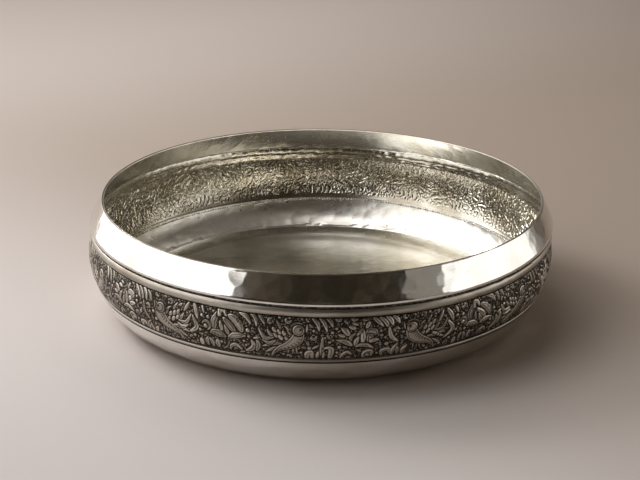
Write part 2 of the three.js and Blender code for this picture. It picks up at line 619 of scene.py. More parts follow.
def smooth_line(points, count):
    """A smooth curve through all the points."""
    points = np.array(points, float)
    points = np.concatenate([[2 * points[0] - points[1]], points, [2 * points[-1] - points[-2]]])
    share = np.linspace(0, len(points) - 3, count)
    piece = np.minimum(share.astype(int), len(points) - 4)
    t = (share - piece)[:, None]
    a, b, c, d = (points[piece + i] for i in range(4))
    return 0.5 * (2 * b + (c - a) * t + (2 * a - 5 * b + 4 * c - d) * t**2 + (3 * b - a - 3 * c + d) * t**3)


class Lobe:
    """One raised lobe of a motif, in millimetres from the motif's middle: its spine, its half width there,
    how many scallops its edge has and how many fine cuts shade it."""

    def __init__(self, wide, *spine, scallops=0, cuts=0, blunt=False):
        self.spine = spine
        self.scallops = scallops
        self.cuts = cuts
        share = np.linspace(0, 1, 14)
        if isinstance(wide, tuple):
            self.wide = np.interp(share, np.linspace(0, 1, len(wide)), wide)
        elif blunt:
            self.wide = wide * np.sin(math.pi * (0.22 + 0.64 * share)) ** 0.6
        else:
            self.wide = wide * np.sin(math.pi * (0.07 + 0.88 * share)) ** 0.75


def berry(x, y, size=1.0):
    return Lobe((size, size), (x, y), (x + 0.05, y))


palmette = [
    Lobe(0.6, (0.6, -0.8), (1.1, -4.5), (-0.2, -7.8), (-3.8, -10.6)),
    Lobe((1.5, 2.1, 1.7, 0.8), (-8.0, 4.4), (-8.5, 7.8), (-7.2, 11.2), (-6.2, 13.8), scallops=3),
    Lobe((1.1, 1.4, 1.2, 0.8), (-5.0, 12.3), (-4.5, 15.7), (-2.2, 15.2), (-0.6, 12.6)),
    Lobe((1.2, 2.1, 2.3, 1.2), (1.6, 12.8), (4.6, 11.3), (7.8, 8.0), (9.5, 4.4), scallops=4, cuts=9),
    Lobe((0.8, 1.6, 1.9, 1.1), (-1.9, 10.6), (0.6, 8.4), (3.0, 6.0), (4.8, 3.6)),
    Lobe((0.8, 1.1, 0.5), (-3.1, 3.6), (-3.7, 6.0), (-4.2, 8.4)),
    Lobe((0.6, 1.4, 0.6), (1.2, 0.8), (0.4, 3.2), (-0.9, 6.4)),
    Lobe((0.9, 2.4, 2.0, 0.3), (-1.2, -0.6), (-4.6, 0.7), (-8.0, 1.3), (-10.6, 0.4), cuts=5),
    Lobe((0.6, 1.9, 1.6, 0.3), (1.5, -0.4), (4.6, 0.6), (8.2, 1.4), (11.9, 1.3)),
    Lobe(0.85, (-16.2, 5.4), (-14.0, 7.2), (-11.5, 6.2), (-10.8, 3.4), (-12.6, 1.4)),
    Lobe((1.3, 1.3), (-13.6, 4.2), (-13.4, 4.0)),
    Lobe((0.5, 1.1, 1.2, 0.5), (1.4, -9.8), (3.0, -6.8), (6.0, -6.0), (9.0, -9.0)),
    Lobe(0.7, (3.6, -10.4), (4.6, -8.4), (6.2, -9.2)),
    berry(-3.8, -5.2, 0.9),
]
palmette_companions = [
    Lobe(1.6, (-18.6, -10.6), (-18.4, -6.8), blunt=True),
    Lobe(1.1, (-14.0, -10.6), (-14.6, -7.0), (-13.6, -3.8)),
    Lobe(1.3, (-10.6, -10.6), (-11.0, -7.0), (-12.4, -4.2)),
    Lobe(1.5, (-6.8, -10.4), (-7.4, -7.4), (-7.0, -4.6)),
    Lobe((0.6, 1.5, 1.6, 0.7), (11.4, -9.4), (14.4, -8.0), (16.6, -5.0), (15.4, -1.4)),
    Lobe(1.3, (18.2, -8.6), (19.6, -4.0), (18.4, 0.8)),
    Lobe(0.8, (16.4, 0.2), (20.6, 1.6)),
    Lobe(1.4, (7.0, 15.6), (11.4, 14.0), (14.4, 9.8)),
    Lobe(1.1, (13.6, 16.2), (17.0, 13.8), (18.0, 8.8)),
    Lobe(1.1, (18.6, 16.4), (20.8, 14.2), (23.0, 10.4)),
    Lobe(1.1, (-27.3, 16.2), (-30.8, 9.6)),
    Lobe(1.4, (-24.4, 16.4), (-22.0, 12.0), (-20.6, 7.2)),
    Lobe(1.0, (-18.3, 16.4), (-16.4, 11.6)),
    Lobe(1.4, (-24.2, 8.4), (-21.0, 1.5), (-27.0, -3.8)),
    berry(-17.8, 10.0, 1.1), berry(-13.5, 9.6, 1.1), berry(-18.6, 0.0), berry(-23.0, -5.0),
    berry(-29.8, -7.2), berry(-31.4, 0.0), berry(12.8, 5.2, 1.2), berry(10.2, -2.4, 0.8),
    berry(22.6, 4.2),
]
later_palmette = [
    Lobe(0.55, (0.2, -0.6), (0.6, -5.0), (3.4, -10.4)),
    Lobe((0.5, 1.8, 1.5, 0.5), (-8.4, 12.4), (-6.0, 10.8), (-4.4, 8.8), (-3.0, 7.8)),
    Lobe(1.1, (-9.8, 8.4), (-6.0, 6.8)),
    Lobe(1.3, (-3.6, 13.6), (0.2, 12.2)),
    Lobe(0.8, (-2.0, 16.0), (1.8, 14.6)),
    Lobe((1.2, 2.3, 2.3), (7.8, 9.0), (9.4, 10.6), (12.0, 9.8)),
    Lobe((1.9, 1.9), (9.2, 6.8), (9.6, 4.2)),
    Lobe((1.5, 1.4, 0.6), (10.4, 3.6), (12.4, 4.2), (14.4, 4.4)),
    Lobe((0.5, 1.4, 1.7, 1.0), (4.6, 12.6), (5.0, 9.4), (5.4, 6.0), (5.2, 2.4)),
    Lobe((0.4, 0.9, 0.9), (4.4, 12.4), (3.0, 10.4), (1.8, 8.4)),
    Lobe(1.1, (-2.2, 3.8), (-2.4, 6.8), (0.2, 9.4)),
    Lobe((0.7, 1.5, 0.6), (0.8, 0.6), (1.2, 3.4), (2.2, 6.6)),
    Lobe((0.8, 1.9, 1.7, 0.3), (-1.4, 0.4), (-4.0, 2.2), (-7.0, 3.6), (-11.2, 4.2), cuts=6),
    Lobe((0.5, 1.4, 1.3, 0.3), (1.2, -0.4), (4.5, 0.8), (8.2, 0.2), (12.4, -2.0), cuts=5),
    Lobe(1.2, (7.0, 12.8), (8.6, 16.8)),
    Lobe((0.5, 1.2, 1.0, 0.5), (-7.6, -9.8), (-6.0, -6.6), (-3.4, -4.6), (-0.8, -6.4)),
    Lobe((1.1, 1.4, 1.3, 1.1, 0.5), (7.2, -9.6), (7.0, -6.0), (9.6, -4.0), (12.0, -5.4), (11.4, -8.0)),
    Lobe((1.2, 1.2), (9.4, -7.0), (9.5, -7.2)),
    berry(-13.6, 9.4), berry(-8.8, -1.0, 1.2), berry(16.6, 7.2), berry(20.4, 0.8, 1.3),
]
later_companions = [
    Lobe(1.2, (12.6, 18.4), (15.4, 15.6), (19.0, 11.6)),
    Lobe(1.3, (16.2, 18.6), (20.0, 14.8), (22.0, 10.4)),
    Lobe(1.2, (20.4, 18.6), (23.4, 15.8), (25.0, 11.8)),
    Lobe(1.1, (24.6, 18.4), (27.2, 15.8), (28.8, 12.8)),
    Lobe(1.3, (22.2, 11.0), (23.6, 4.4), (28.2, -0.2)),
    Lobe(1.5, (18.8, -9.6), (18.6, -5.8), (22.4, -5.0), (24.0, -8.6)),
    Lobe(1.4, (25.0, -9.6), (25.6, -5.4), (28.0, -1.0)),
    Lobe(1.2, (28.6, -9.6), (28.4, -6.6), (27.6, -3.2)),
    Lobe(1.4, (31.6, -9.8), (32.0, -6.4), (34.0, -3.6)),
    berry(31.0, 6.6), berry(33.0, 11.0, 0.8), berry(20.0, 4.4, 0.8), berry(33.6, 2.0, 1.2),
]
bird = [
    Lobe(1.1, (-8.5, -12.0), (-13.0, -14.0), (-18.5, -17.4)),
    Lobe(1.1, (-8.5, -10.2), (-14.0, -10.8), (-20.6, -13.4)),
    Lobe(1.2, (-12.5, -8.2), (-16.0, -10.4), (-20.6, -8.4)),
    Lobe(1.2, (-13.4, -6.3), (-19.0, -7.0), (-23.2, -0.8)),
    Lobe(1.0, (-13.0, -3.6), (-15.2, -4.4), (-17.6, -1.0)),
    Lobe(0.75, (-9.2, -2.2), (-10.2, 1.6), (-12.4, 4.8)),
    Lobe(1.1, (-12.2, -2.4), (-14.4, 0.6)),
    Lobe(1.1, (-9.4, -3.8), (-11.2, -0.6)),
    Lobe(1.1, (-6.4, -4.6), (-8.0, -1.6)),
    Lobe(1.1, (-11.4, -5.8), (-13.4, -3.2)),
    Lobe(1.1, (-8.2, -7.4), (-10.2, -4.6)),
    Lobe(1.1, (-4.8, -8.0), (-6.6, -5.2)),
    Lobe(0.7, (-1.6, -4.6), (-4.2, -2.6), (-5.2, 0.2), (-7.6, 1.8)),
    Lobe(0.5, (-3.4, -12.6), (-4.6, -17.4)),
    Lobe(0.5, (-1.6, -12.0), (-2.0, -17.8)),
    Lobe(0.5, (0.2, -11.2), (0.8, -17.4)),
    Lobe(
        (2.8, 3.5, 4.0, 3.7, 2.9, 2.0, 1.1, 0.4),
        (2.2, 0.6), (1.9, -2.8), (1.2, -6.0), (-1.0, -9.0), (-4.6, -11.6), (-9.0, -13.6),
        (-12.6, -16.8), (-14.6, -20.4), cuts=14,
    ),
    Lobe(0.6, (6.1, -1.6), (6.3, 3.6)),
    Lobe(0.5, (-3.7, -0.9), (-3.0, 2.6), (0.4, 4.4), (4.0, 3.6)),
    Lobe((3.3, 3.4), (1.2, -0.4), (1.4, -0.5)),
]
bird_eye = (2.6, 0.1)
pendant_spray = [
    Lobe(1.2, (-5.6, 9.4), (-2.6, 6.6), (-1.4, 1.6)),
    Lobe(1.1, (-1.2, 9.6), (1.6, 6.4), (3.4, 0.8)),
    Lobe(1.1, (2.8, 9.6), (5.4, 7.6), (6.8, 3.8)),
    berry(-4.6, 1.8, 0.8), berry(0.4, -1.6, 0.9),
]
curled_leaf = [
    Lobe((0.4, 0.9, 0.8, 0.3), (-1.7, -1.0), (0.4, -1.5), (1.5, 0.2), (0.2, 1.3)),
    Lobe(0.5, (-1.3, 0.2), (-0.5, 1.5)),
]
small_leaf = [Lobe(0.75, (-1.4, -0.4), (0.0, 0.3), (1.5, 0.2))]
half_flower = [
    Lobe(1.5, (-7.2, -6.0), (-7.8, -1.6), (-5.2, 0.0), (-4.2, -5.0), blunt=True),
    Lobe(0.8, (-4.6, 2.6), (-0.6, 5.6)),
    Lobe((0.4, 1.0, 1.4, 0.8), (1.3, 11.6), (1.2, 5.6), (1.3, 0.6), (1.0, -2.0)),
    Lobe(1.1, (-0.8, 0.4), (-1.4, -5.8)),
    Lobe(0.9, (2.8, 0.2), (2.6, -5.8)),
    Lobe((1.4, 1.9, 1.8, 1.2, 0.6), (6.6, -6.2), (7.2, -0.8), (7.2, 2.4), (5.0, 3.8), (2.8, 3.0)),
    berry(-6.4, 2.8, 1.2), berry(5.6, 7.6, 0.9),
]


class ChasedBand:
    """The belt unrolled on a fine grid: how high each spot stands, and how bright its tin is rubbed. At first
    it is all ground, matted with a small ring punch whose middles stand up and shine."""

    def __init__(self, seed):
        self.rng = np.random.default_rng(seed)
        self.columns = round(motif_girth / grid_pitch)
        self.rows = round((belt_top - fillet_top) / grid_pitch) + 1
        self.pitch = motif_girth / self.columns
        count = round(motif_girth / punch_pitch)
        lines = round((belt_top - fillet_top) / punch_pitch) + 3
        aim = self.rng.uniform(-punch_missed, punch_missed, (lines, count, 2))
        shine = self.rng.uniform(0.15, 0.95, (lines, count))
        across, along = np.meshgrid(np.arange(self.columns) * self.pitch, np.arange(self.rows) * self.pitch)
        nearest = np.full(across.shape, 1.0)
        shining = np.zeros(across.shape)
        blow = (motif_girth / count, punch_pitch)
        for row, column, dx, dy in nearby_blows(across, along, blow, aim, lowest=-1):
            gap = np.hypot(dx, dy)
            shining = np.where(gap < nearest, shine[row, column], shining)
            nearest = np.minimum(nearest, gap)
        dot = np.clip((punch_hollow - nearest) / punch_flank, 0, 1)
        self.relief = punch_rise * dot
        self.bright = punch_shine + shining * dot
        self.taken = np.zeros(across.shape, bool)

    def window(self, low, high):
        """The grid rows and columns between two corners, and their places."""
        columns = np.arange(math.floor(low[0] / self.pitch), math.ceil(high[0] / self.pitch) + 1)
        first = max(math.floor(low[1] / self.pitch), 0)
        last = min(math.ceil(high[1] / self.pitch), self.rows - 1)
        rows = np.arange(first, last + 1)
        return rows, columns, columns * self.pitch, rows[:, None] * self.pitch

    def chase(self, lobe, spot, turn, size, mirrored):
        """Outlines and raises one lobe of a motif at a spot on the belt."""
        spine = smooth_line(lobe.spine, len(lobe.wide)) * MM * size
        spine += self.rng.normal(0, lobe_slip, 2)
        if mirrored:
            spine[:, 0] *= -1
        cos, sin = math.cos(turn), math.sin(turn)
        spine = spine @ np.array([[cos, sin], [-sin, cos]]) + spot
        wide = lobe.wide * MM * size * self.rng.uniform(0.92, 1.08)
        reach = wide.max() + outline_width + 2 * self.pitch
        rows, columns, x, z = self.window(spine.min(0) - reach, spine.max(0) + reach)
        if not len(rows):
            return
        edge = np.full((len(rows), len(columns)), 1.0)
        share = np.zeros(edge.shape)
        side = np.zeros(edge.shape)
        for i in range(len(spine) - 1):
            step = spine[i + 1] - spine[i]
            length = max(float(step @ step), 1e-12)
            t = np.clip(((x - spine[i, 0]) * step[0] + (z - spine[i, 1]) * step[1]) / length, 0, 1)
            dx = x - spine[i, 0] - t * step[0]
            dz = z - spine[i, 1] - t * step[1]
            here = (i + t) / (len(spine) - 1)
            girth_here = wide[i] + (wide[i + 1] - wide[i]) * t
            if lobe.scallops:
                girth_here = girth_here * (0.84 + 0.22 * np.abs(np.sin(math.pi * lobe.scallops * here)))
            out = np.hypot(dx, dz) - girth_here
            closer = out < edge
            edge = np.where(closer, out, edge)
            share = np.where(closer, here, share)
            side = np.where(closer, (step[0] * dz - step[1] * dx) / math.sqrt(length), side)

        grid = np.ix_(rows, columns % self.columns)
        relief = self.relief[grid]
        bright = self.bright[grid]
        cut = np.clip((outline_width - edge) / cut_flank, 0, 1)
        relief = relief - (relief + outline_depth) * cut
        bright = bright - bright * cut
        inner = np.clip(-edge / min(edge_round, 0.9 * wide.max()), 0, 1)
        body = motif_rise * min(1.0, 0.35 + wide.max() / broad_lobe) * np.sqrt(1 - (1 - inner) ** 2)
        # Each lobe is brighter towards its rim than in its middle: partly rubbed tin, partly a painted
        # highlight round the edge.
        shine = self.rng.uniform(0.8, 1.0) * (1 - 0.3 * inner)
        if lobe.cuts:
            shading = np.clip(np.cos(TURN * lobe.cuts * share + side / wide.max() * 2) * 3 - 1.6, 0, 1)
            shading = shading * np.clip(side / (0.5 * MM), 0, 1) * inner
            body = body - vein * shading
            shine = shine * (1 - 0.7 * shading)
        if wide.max() > broad_lobe:
            traced = np.clip(1.6 - np.abs(edge + contour_inset) / vein, 0, 1)
        elif len(lobe.spine) > 2:
            traced = np.clip(1.5 - np.abs(side) / vein, 0, 1) * (share > 0.12) * (share < 0.72)
        else:
            traced = 0
        body = body - vein * traced
        shine = shine * (1 - 0.75 * traced)
        raised = np.clip(-edge / motif_flank + 0.5, 0, 1)
        self.relief[grid] = relief + (body - relief) * raised
        self.bright[grid] = bright + (shine - bright) * raised
        self.taken[grid] |= edge < outline_width

    def motif(self, lobes, x, y, mirrored=False):
        """A whole motif with its middle x round the belt and y above its foot, in millimetres."""
        spot = np.array([x, y]) * MM + self.rng.normal(0, motif_slip, 2)
        turn = self.rng.normal(0, motif_lean)
        size = self.rng.uniform(0.97, 1.03)
        for lobe in lobes:
            self.chase(lobe, spot, turn, size, mirrored)
        return spot

    def bird(self, x, y, mirrored=False):
        """A bird, with its eye struck by a single round punch."""
        side = -1 if mirrored else 1
        spot = self.motif(bird, x, y, mirrored) + np.array([side * bird_eye[0], bird_eye[1]]) * MM
        rows, columns, x, z = self.window(spot - 2 * eye_size, spot + 2 * eye_size)
        struck = np.clip((eye_size - np.hypot(x - spot[0], z - spot[1])) / cut_flank, 0, 1)
        grid = np.ix_(rows, columns % self.columns)
        self.relief[grid] -= eye_depth * struck
        self.bright[grid] *= 1 - struck

    def fill(self, lobes, room, tries):
        """Small leaves and berries, wherever a random spot has this much room round it."""
        reach = round(room / self.pitch)
        for _ in range(tries):
            row = int(self.rng.integers(2, self.rows - 2))
            column = int(self.rng.integers(self.columns))
            near = np.ix_(
                range(max(row - reach, 0), min(row + reach, self.rows)),
                np.arange(column - reach, column + reach) % self.columns,
            )
            if self.taken[near].any():
                continue
            spot = np.array([column, row]) * self.pitch
            turn, mirrored = self.rng.uniform(0, TURN), self.rng.random() < 0.5
            for lobe in lobes:
                self.chase(lobe, spot, turn, 1.0, mirrored)

    def at(self, values, angles, levels):
        """Values of the grid at points that are these angles round the bowl and these heights up it."""
        column = (angles + math.pi) / TURN * self.columns
        row = np.clip((levels - fillet_top) / self.pitch, 0, self.rows - 1.001)
        c, r = np.floor(column).astype(int), np.floor(row).astype(int)
        right, up = column - c, row - r
        c0, c1 = c % self.columns, (c + 1) % self.columns
        low = values[r, c0] * (1 - right) + values[r, c1] * right
        high = values[r + 1, c0] * (1 - right) + values[r + 1, c1] * right
        return low * (1 - up) + high * up


def softened(values, reach):
    """Values averaged over their neighbours, round the belt and up it."""
    weights = np.hanning(2 * reach + 3)[1:-1]
    weights /= weights.sum()
    offsets = range(-reach, reach + 1)
    values = sum(w * np.roll(values, o, 1) for w, o in zip(weights, offsets))
    padded = np.pad(values, ((reach, reach), (0, 0)), mode="edge")
    return sum(w * padded[i : i + len(values)] for i, w in enumerate(weights))


# The pattern repeats six times. In each, a palmette is followed by a bird, a flower, a second palmette and
# a bird that faces the other way.
repeats = 6
palmette_bearing = -20.8
first_palmette = (180 + palmette_bearing) / 360 * motif_girth / MM
band = ChasedBand(seed=7)
for count in range(repeats):
    start = first_palmette + count * motif_girth / repeats / MM
    band.motif(palmette_companions, start, 13.2)
    band.motif(pendant_spray, start + 59, 20.4)
    band.motif(half_flower, start + 57.5, 6.6)
    band.motif(later_companions, start + 77.5, 11.2)
    band.bird(start + 42.6, 21.8)
    band.bird(start + 116, 21.4, mirrored=True)
    band.motif(palmette, start, 13.2)
    band.motif(later_palmette, start + 77.5, 11.2)
band.fill(curled_leaf, 2.1 * MM, 9000)
band.fill(small_leaf, 1.5 * MM, 12000)
band.fill([berry(0, 0, 0.85)], 1.15 * MM, 12000)

belt_levels = np.linspace(fillet_top, belt_top, belt_rows)
belt_line = np.stack([belt_radius(belt_levels), belt_levels], -1)
belt_section = sheet_section(belt_line, inset(belt_line, copper), 10)

# The belt's borders: a cut under the bead, and a narrow plain strip with a cut over it at the foot.
border_depth = 0.1 * MM
head_cut = 0.8 * MM
head_flank = 0.3 * MM
foot_cut = 1.35 * MM
foot_flank = 0.45 * MM
foot_strip = 1.0 * MM
strip_flank = 0.2 * MM
strip_bright = 0.35
to_foot = (belt_levels - fillet_top)[:, None]
to_head = (belt_top - belt_levels)[:, None]
border_cut = np.clip((head_cut - to_head) / head_flank, 0, 1)
border_cut = border_cut + np.clip(1 - np.abs(to_foot - foot_cut) / foot_flank, 0, 1)
border_plain = np.clip((foot_strip - to_foot) / strip_flank, 0, 1)
rubbed_tin = (0.63, 0.575, 0.50)


def chased_finish():
    """Rubbed tin on the raised motifs and dark brown patina in the sunk ground and in every cut."""
    finish = Finish("chased_tin")
    rubbed = finish.mark("bright")
    grain = finish.clouds(0.7 * MM, 4)
    drift = finish.clouds(22 * MM, 3)
    share = finish.step(rubbed + (grain - 0.5) * 0.35 + (drift - 0.5) * 0.2, 0.18, 0.9)
    ground = finish.blend(finish.step(grain, 0.35, 0.7), dark_patina, brown_patina)
    colour = finish.blend(share, ground, rubbed_tin)
    rough = 0.46 - share * 0.2 + grain * 0.08
    return finish.metal(colour, rough, finish.bumps(grain, 0.07 * MM), metallic=0.2 + share * 0.8, sheen=0.12)


def belt_halves(columns, heights):
    """The front and back of a turned ring: its name, its span, and each point's angle and height."""
    for side, middle in {"front": 0.0, "back": math.pi}.items():
        span = (middle - math.pi / 2, middle + math.pi / 2)
        yield side, span, *np.meshgrid(np.linspace(*span, columns), heights)


chased_tin = chased_finish()
fine_relief = softened(band.relief, 1)
fine_bright = softened(band.bright, 1)
for side, span, angles, levels in belt_halves(belt_columns, belt_levels):
    relief = band.at(fine_relief, angles, levels) * (1 - border_cut) - border_depth * border_cut
    relief = relief + (0.5 * motif_rise - relief) * border_plain
    bright = band.at(fine_bright, angles, levels) * (1 - border_cut)
    bright = bright + (strip_bright - bright) * border_plain
    belt_half = turned_sheet(
        "chased_belt_" + side, belt_section, belt_columns, relief - motif_rise, bright, span
    )
    fitted(belt_half, chased_tin, "chased_copper", "chased_belt")


# Bead
# The half-round moulding over the belt, beaten out from inside over a grooved stake, so that it is hollow
# behind. Its tin is worn, and its edges waver with the blows.

bead_top = 60 * MM
bead_proud = 0.9 * MM
bead_hollow = 0.25 * MM
shoulder_radius = 157.6 * MM
bead_foot = Vector((belt_radius(belt_top), belt_top))
bead_head = Vector((shoulder_radius, bead_top))
bead_length = (bead_head - bead_foot).length
bead_share = np.linspace(0, 1, 15)
bead_face = [(bead_length * s, bead_proud * math.sin(math.pi * s) ** 0.8) for s in bead_share]
bead_back = [(bead_length * s, bead_hollow * math.sin(math.pi * s) ** 2 - copper) for s in bead_share[::-2]]
bead_ring = ring(
    "bead_ring", worn_tin, bead_foot, bead_head - bead_foot, bead_face + bead_back,
    unevenness=0.6 * MM, unevenness_size=9 * MM,
)
fitted(bead_ring, worn_tin, "tinned_copper", "bead_moulding")


# Stippled groove
# The narrow groove over the bead, set in with a row of small punch blows. The braze between the belt and the
# collar lies behind it, and patina has filled it between the punch marks.

groove_top = 62.0 * MM
groove_depth = 0.6 * MM
groove_radius = 158.3 * MM
shoulder_bend = 63.1 * MM
shoulder_top = 64.7 * MM
lean_radius = 156.2 * MM
lean_height = 68.2 * MM
mouth_radius = 150.4 * MM


def collar_radius(z):
    """The straight part of the collar: its radius at a height."""
    return lean_radius + (mouth_radius - lean_radius) * (z - lean_height) / (height - lean_height)


def shoulder(count):
    """Points on the rounded shoulder, from the groove to where the collar's straight lean begins."""
    a = np.array((groove_radius, groove_top))
    b = np.array((collar_radius(shoulder_bend), shoulder_bend))
    c = np.array((collar_radius(shoulder_top), shoulder_top))
    share = np.linspace(0, 1, count)[:, None]
    return (1 - share) ** 2 * a + 2 * share * (1 - share) * b + share**2 * c


groove_head = Vector((groove_radius, groove_top))
groove_length = (groove_head - bead_head).length
groove_ring = ring(
    "groove_ring", line_patina, bead_head, groove_head - bead_head,
    sunk_line(0, groove_length, 0.3, groove_depth), unevenness=0.2 * MM,
)
fitted(groove_ring, line_patina, "spelter", "upper_braze")

stipple = Shaping("marks_round_the_bowl", {
    "Ring radius": "Float", "Ring height": "Float", "Marks": "Int", "Mark size": "Float",
    "Waver": "Vector", "Seed": "Int",
})
spots = stipple.node(
    "GeometryNodeMeshCircle", {},
    {"Vertices": stipple.given("Marks"), "Radius": stipple.given("Ring radius")},
)
lift = stipple.node("ShaderNodeCombineXYZ", {}, {"Z": stipple.given("Ring height")})
spots = stipple.node("GeometryNodeTransform", {}, {"Geometry": spots, "Translation": lift})
under = stipple.node(
    "ShaderNodeVectorMath", {"operation": "SCALE"}, {"Vector": stipple.given("Waver"), "Scale": -1.0}
)
waver = stipple.node(
    "FunctionNodeRandomValue", {"data_type": "FLOAT_VECTOR"},
    {0: under, 1: stipple.given("Waver"), "Seed": stipple.given("Seed")}, 0,
)
spots = stipple.node("GeometryNodeSetPosition", {}, {"Geometry": spots, "Offset": waver})
grain = stipple.node(
    "GeometryNodeMeshUVSphere", {}, {"Segments": 7, "Rings": 4, "Radius": stipple.given("Mark size")}
)
spread = stipple.node(
    "FunctionNodeRandomValue", {"data_type": "FLOAT"},
    {2: 0.7, 3: 1.2, "Seed": stipple.given("Seed") + 1}, 1,
)
stipple.ends(stipple.node(
    "GeometryNodeInstanceOnPoints", {}, {"Points": spots, "Instance": grain, "Scale": spread}
))


def marks(name, finish, radius, level, size, pitch, seed, waver):
    """A row of small round punch marks all round the bowl."""
    return stipple.piece(name, bpy.data.meshes.new(name + "_none"), {
        "Ring radius": radius, "Ring height": level, "Marks": round(TURN * radius / pitch),
        "Mark size": size, "Waver": (waver, waver, waver), "Seed": seed, "Finish": finish,
    })


groove_marks = marks(
    "groove_marks", worn_tin, shoulder_radius - groove_depth, (bead_top + groove_top) / 2, 0.45 * MM,
    pitch=1.4 * MM, seed=3, waver=0.25 * MM,
)
fitted(groove_marks, worn_tin, "spelter", "upper_braze")


# Collar
# The plain ring that rounds the shoulder and leans in to the mouth. It was planished with a broad flat
# hammer, so that it shines in large shallow facets, and its edge was filed and rubbed smooth.

collar_blow = (6.5 * MM, 6 * MM)
collar_columns = 1200
collar_settles = 3 * MM
edge_soft = 0.25 * MM
collar_lean = [(collar_radius(z), z) for z in np.linspace(shoulder_top, height, 25)[1:]]
collar_line = np.concatenate([shoulder(10), collar_lean])
collar_line[-1, 1] -= edge_soft
collar_section = sheet_section(collar_line, inset(collar_line, copper), 4)
collar_dents = blows_on_a_wall(collar_line, collar_columns, collar_blow, (0.13, 0.25), seed=5, lean=0.012)
collar_dents -= collar_dents.mean()
collar_dents *= np.clip((collar_line[:, 1:] - groove_top) / collar_settles, 0.1, 1)
collar_sheet = turned_sheet("collar_sheet", collar_section, collar_columns, collar_dents)
collar_tin = tinned("collar_tin", roughness=0.1, dullness=0.25, wiped=0.01 * MM)
fitted(collar_sheet, collar_tin, "tinned_copper", "shoulder_collar")


# Tin lining
# The tin wiped over the whole inside while hot. It follows every blow and every chased line from behind:
# the planished floor, the wall that laps over its edge, a raised line with punched dots, the belt in soft
# reverse, the bead's channel and the collar.

tin = 0.2 * MM
lining_back = copper + clearance
lining_face = lining_back + tin
ridge = 0.14 * MM
ridge_width = 0.5 * MM
lap_rise = 0.4 * MM
dull_lining = (0.42, 0.385, 0.32)
pit_brown = (0.25, 0.22, 0.17)


def wiped_lining(name, light, dark, roughness):
    """Wiped tin inside the bowl, warmer and duller than outside, scratched by use."""
    finish = Finish(name)
    clouds = finish.clouds(38 * MM, 5)
    specks = finish.clouds(1.4 * MM, 2)
    pits = finish.clouds(3.2 * MM, 2)
    wipes = finish.clouds(1.3 * MM, 3, finish.place((0.1, 1.0, 0.4)))
    dull = finish.step(specks, 0.58, 0.80) * 0.5
    colour = finish.blend(finish.step(clouds, 0.40, 0.64), light, dark)
    colour = finish.blend(dull, colour, dull_lining)
    colour = finish.blend(finish.step(pits, 0.70, 0.78), colour, pit_brown)
    edge = worn_edge(finish)
    colour = finish.blend(edge, colour, worn_copper)
    rough = roughness + finish.step(clouds, 0.35, 0.7) * 0.07 + dull * 0.3 + wipes * 0.06 + edge * 0.5
    return finish.metal(colour, rough, finish.bumps(wipes + specks * 0.6, 0.045 * MM))


lining_tin = wiped_lining("wiped_tin", (0.84, 0.825, 0.78), (0.70, 0.665, 0.58), 0.12)
satin_tin = wiped_lining("satin_tin", (0.92, 0.90, 0.86), (0.81, 0.775, 0.70), 0.24)
reverse_tin = wiped_lining("reverse_tin", (0.64, 0.61, 0.53), (0.40, 0.36, 0.28), 0.15)


def lining_piece(name, line, columns, push, hollow=0.0, span=all_round, finish=lining_tin):
    """One stretch of the lining, from its visible face to its back against the copper."""
    face = inset(line, lining_face - hollow)[::-1]
    back = inset(line, lining_back - hollow)
    kept = [*range(0, len(line) - 1, 6), len(line) - 1]
    section = np.concatenate([face, back[kept]])
    piece = turned_sheet(name, section, columns, push[::-1], span=span)
    fitted(piece, finish, "tin_lining", "tin_lining")


# The floor inside runs out nearly flat to a crease.
crease_radius = 137.5 * MM
crease_turn = math.asin((crease_radius - floor_radius) / heel_rise)
inner_floor = np.array([(r, 0) for r in np.linspace(0, floor_radius, 100)[:-1]])
inner_heel = heel_arc(0, crease_turn, 14)
inner_floor = np.concatenate([inner_floor, inner_heel])
inner_columns = 720
inner_dents = blows_on_a_round(
    inner_floor, inner_columns, 2.2 * crease_radius, 8 * MM, 0.55, seed=31, lean=0.006
)
inner_dents -= inner_dents.min()
inner_dents[0] = inner_dents[0].mean()
lining_piece("lining_floor", inner_floor, inner_columns, inner_dents)

# From the crease up, the wall laps over the floor with a low, ragged edge, and its tin is satin. The rows of
# the mesh are closer together near the crease.
lap_width = 1.6 * MM
lap_stray = 0.8 * MM
lap_least = 0.4 * MM
lap_slope = 0.7 * MM
crease_smooth = 2 * MM
close_rows = 7 * MM
near_crease = crease_turn + close_rows / heel_rise
lap_rows = heel_arc(crease_turn, near_crease, 18)[:-1]
inner_wall = np.concatenate([lap_rows, heel_arc(near_crease, heel_end, 26)])
inner_along = way_along(inner_wall)[:, None]
wall_inner_columns = 900
inner_wall_dents = blows_on_a_wall(
    inner_wall, wall_inner_columns, (8 * MM, 7 * MM), (0.15, 0.11), seed=33, lean=0.016
)
inner_wall_dents -= inner_wall_dents.min()
frayed = np.random.default_rng(43).normal(0, 1, (1, wall_inner_columns))
ragged = sum(softened(frayed, reach) * math.sqrt(reach) for reach in (2, 5, 16))
lap_edge = np.maximum(lap_width + lap_stray * ragged, lap_least)
over_floor = np.clip((inner_along - lap_edge) / lap_slope, 0, 1)
inner_wall_dents = inner_wall_dents * np.clip(inner_along / crease_smooth, 0, 1) + lap_rise * over_floor
lining_piece("lining_wall", inner_wall, wall_inner_columns, inner_wall_dents, finish=satin_tin)

# Behind the moulding and the belt. Every cut of the tracer and every punched dot stands out here, and the
# sheet between them is crumpled by the blows.
belt_inner_rows = 61
belt_inner_columns = 1050
belt_fades = 1.5 * MM
crumple_depth = 0.09 * MM
reverse_depth = 1.5


def raised_line(heights, level):
    """A tracer's line from behind: 1 along its level, and falling off over and under it."""
    return np.exp(-(((heights - level) / ridge_width) ** 2))


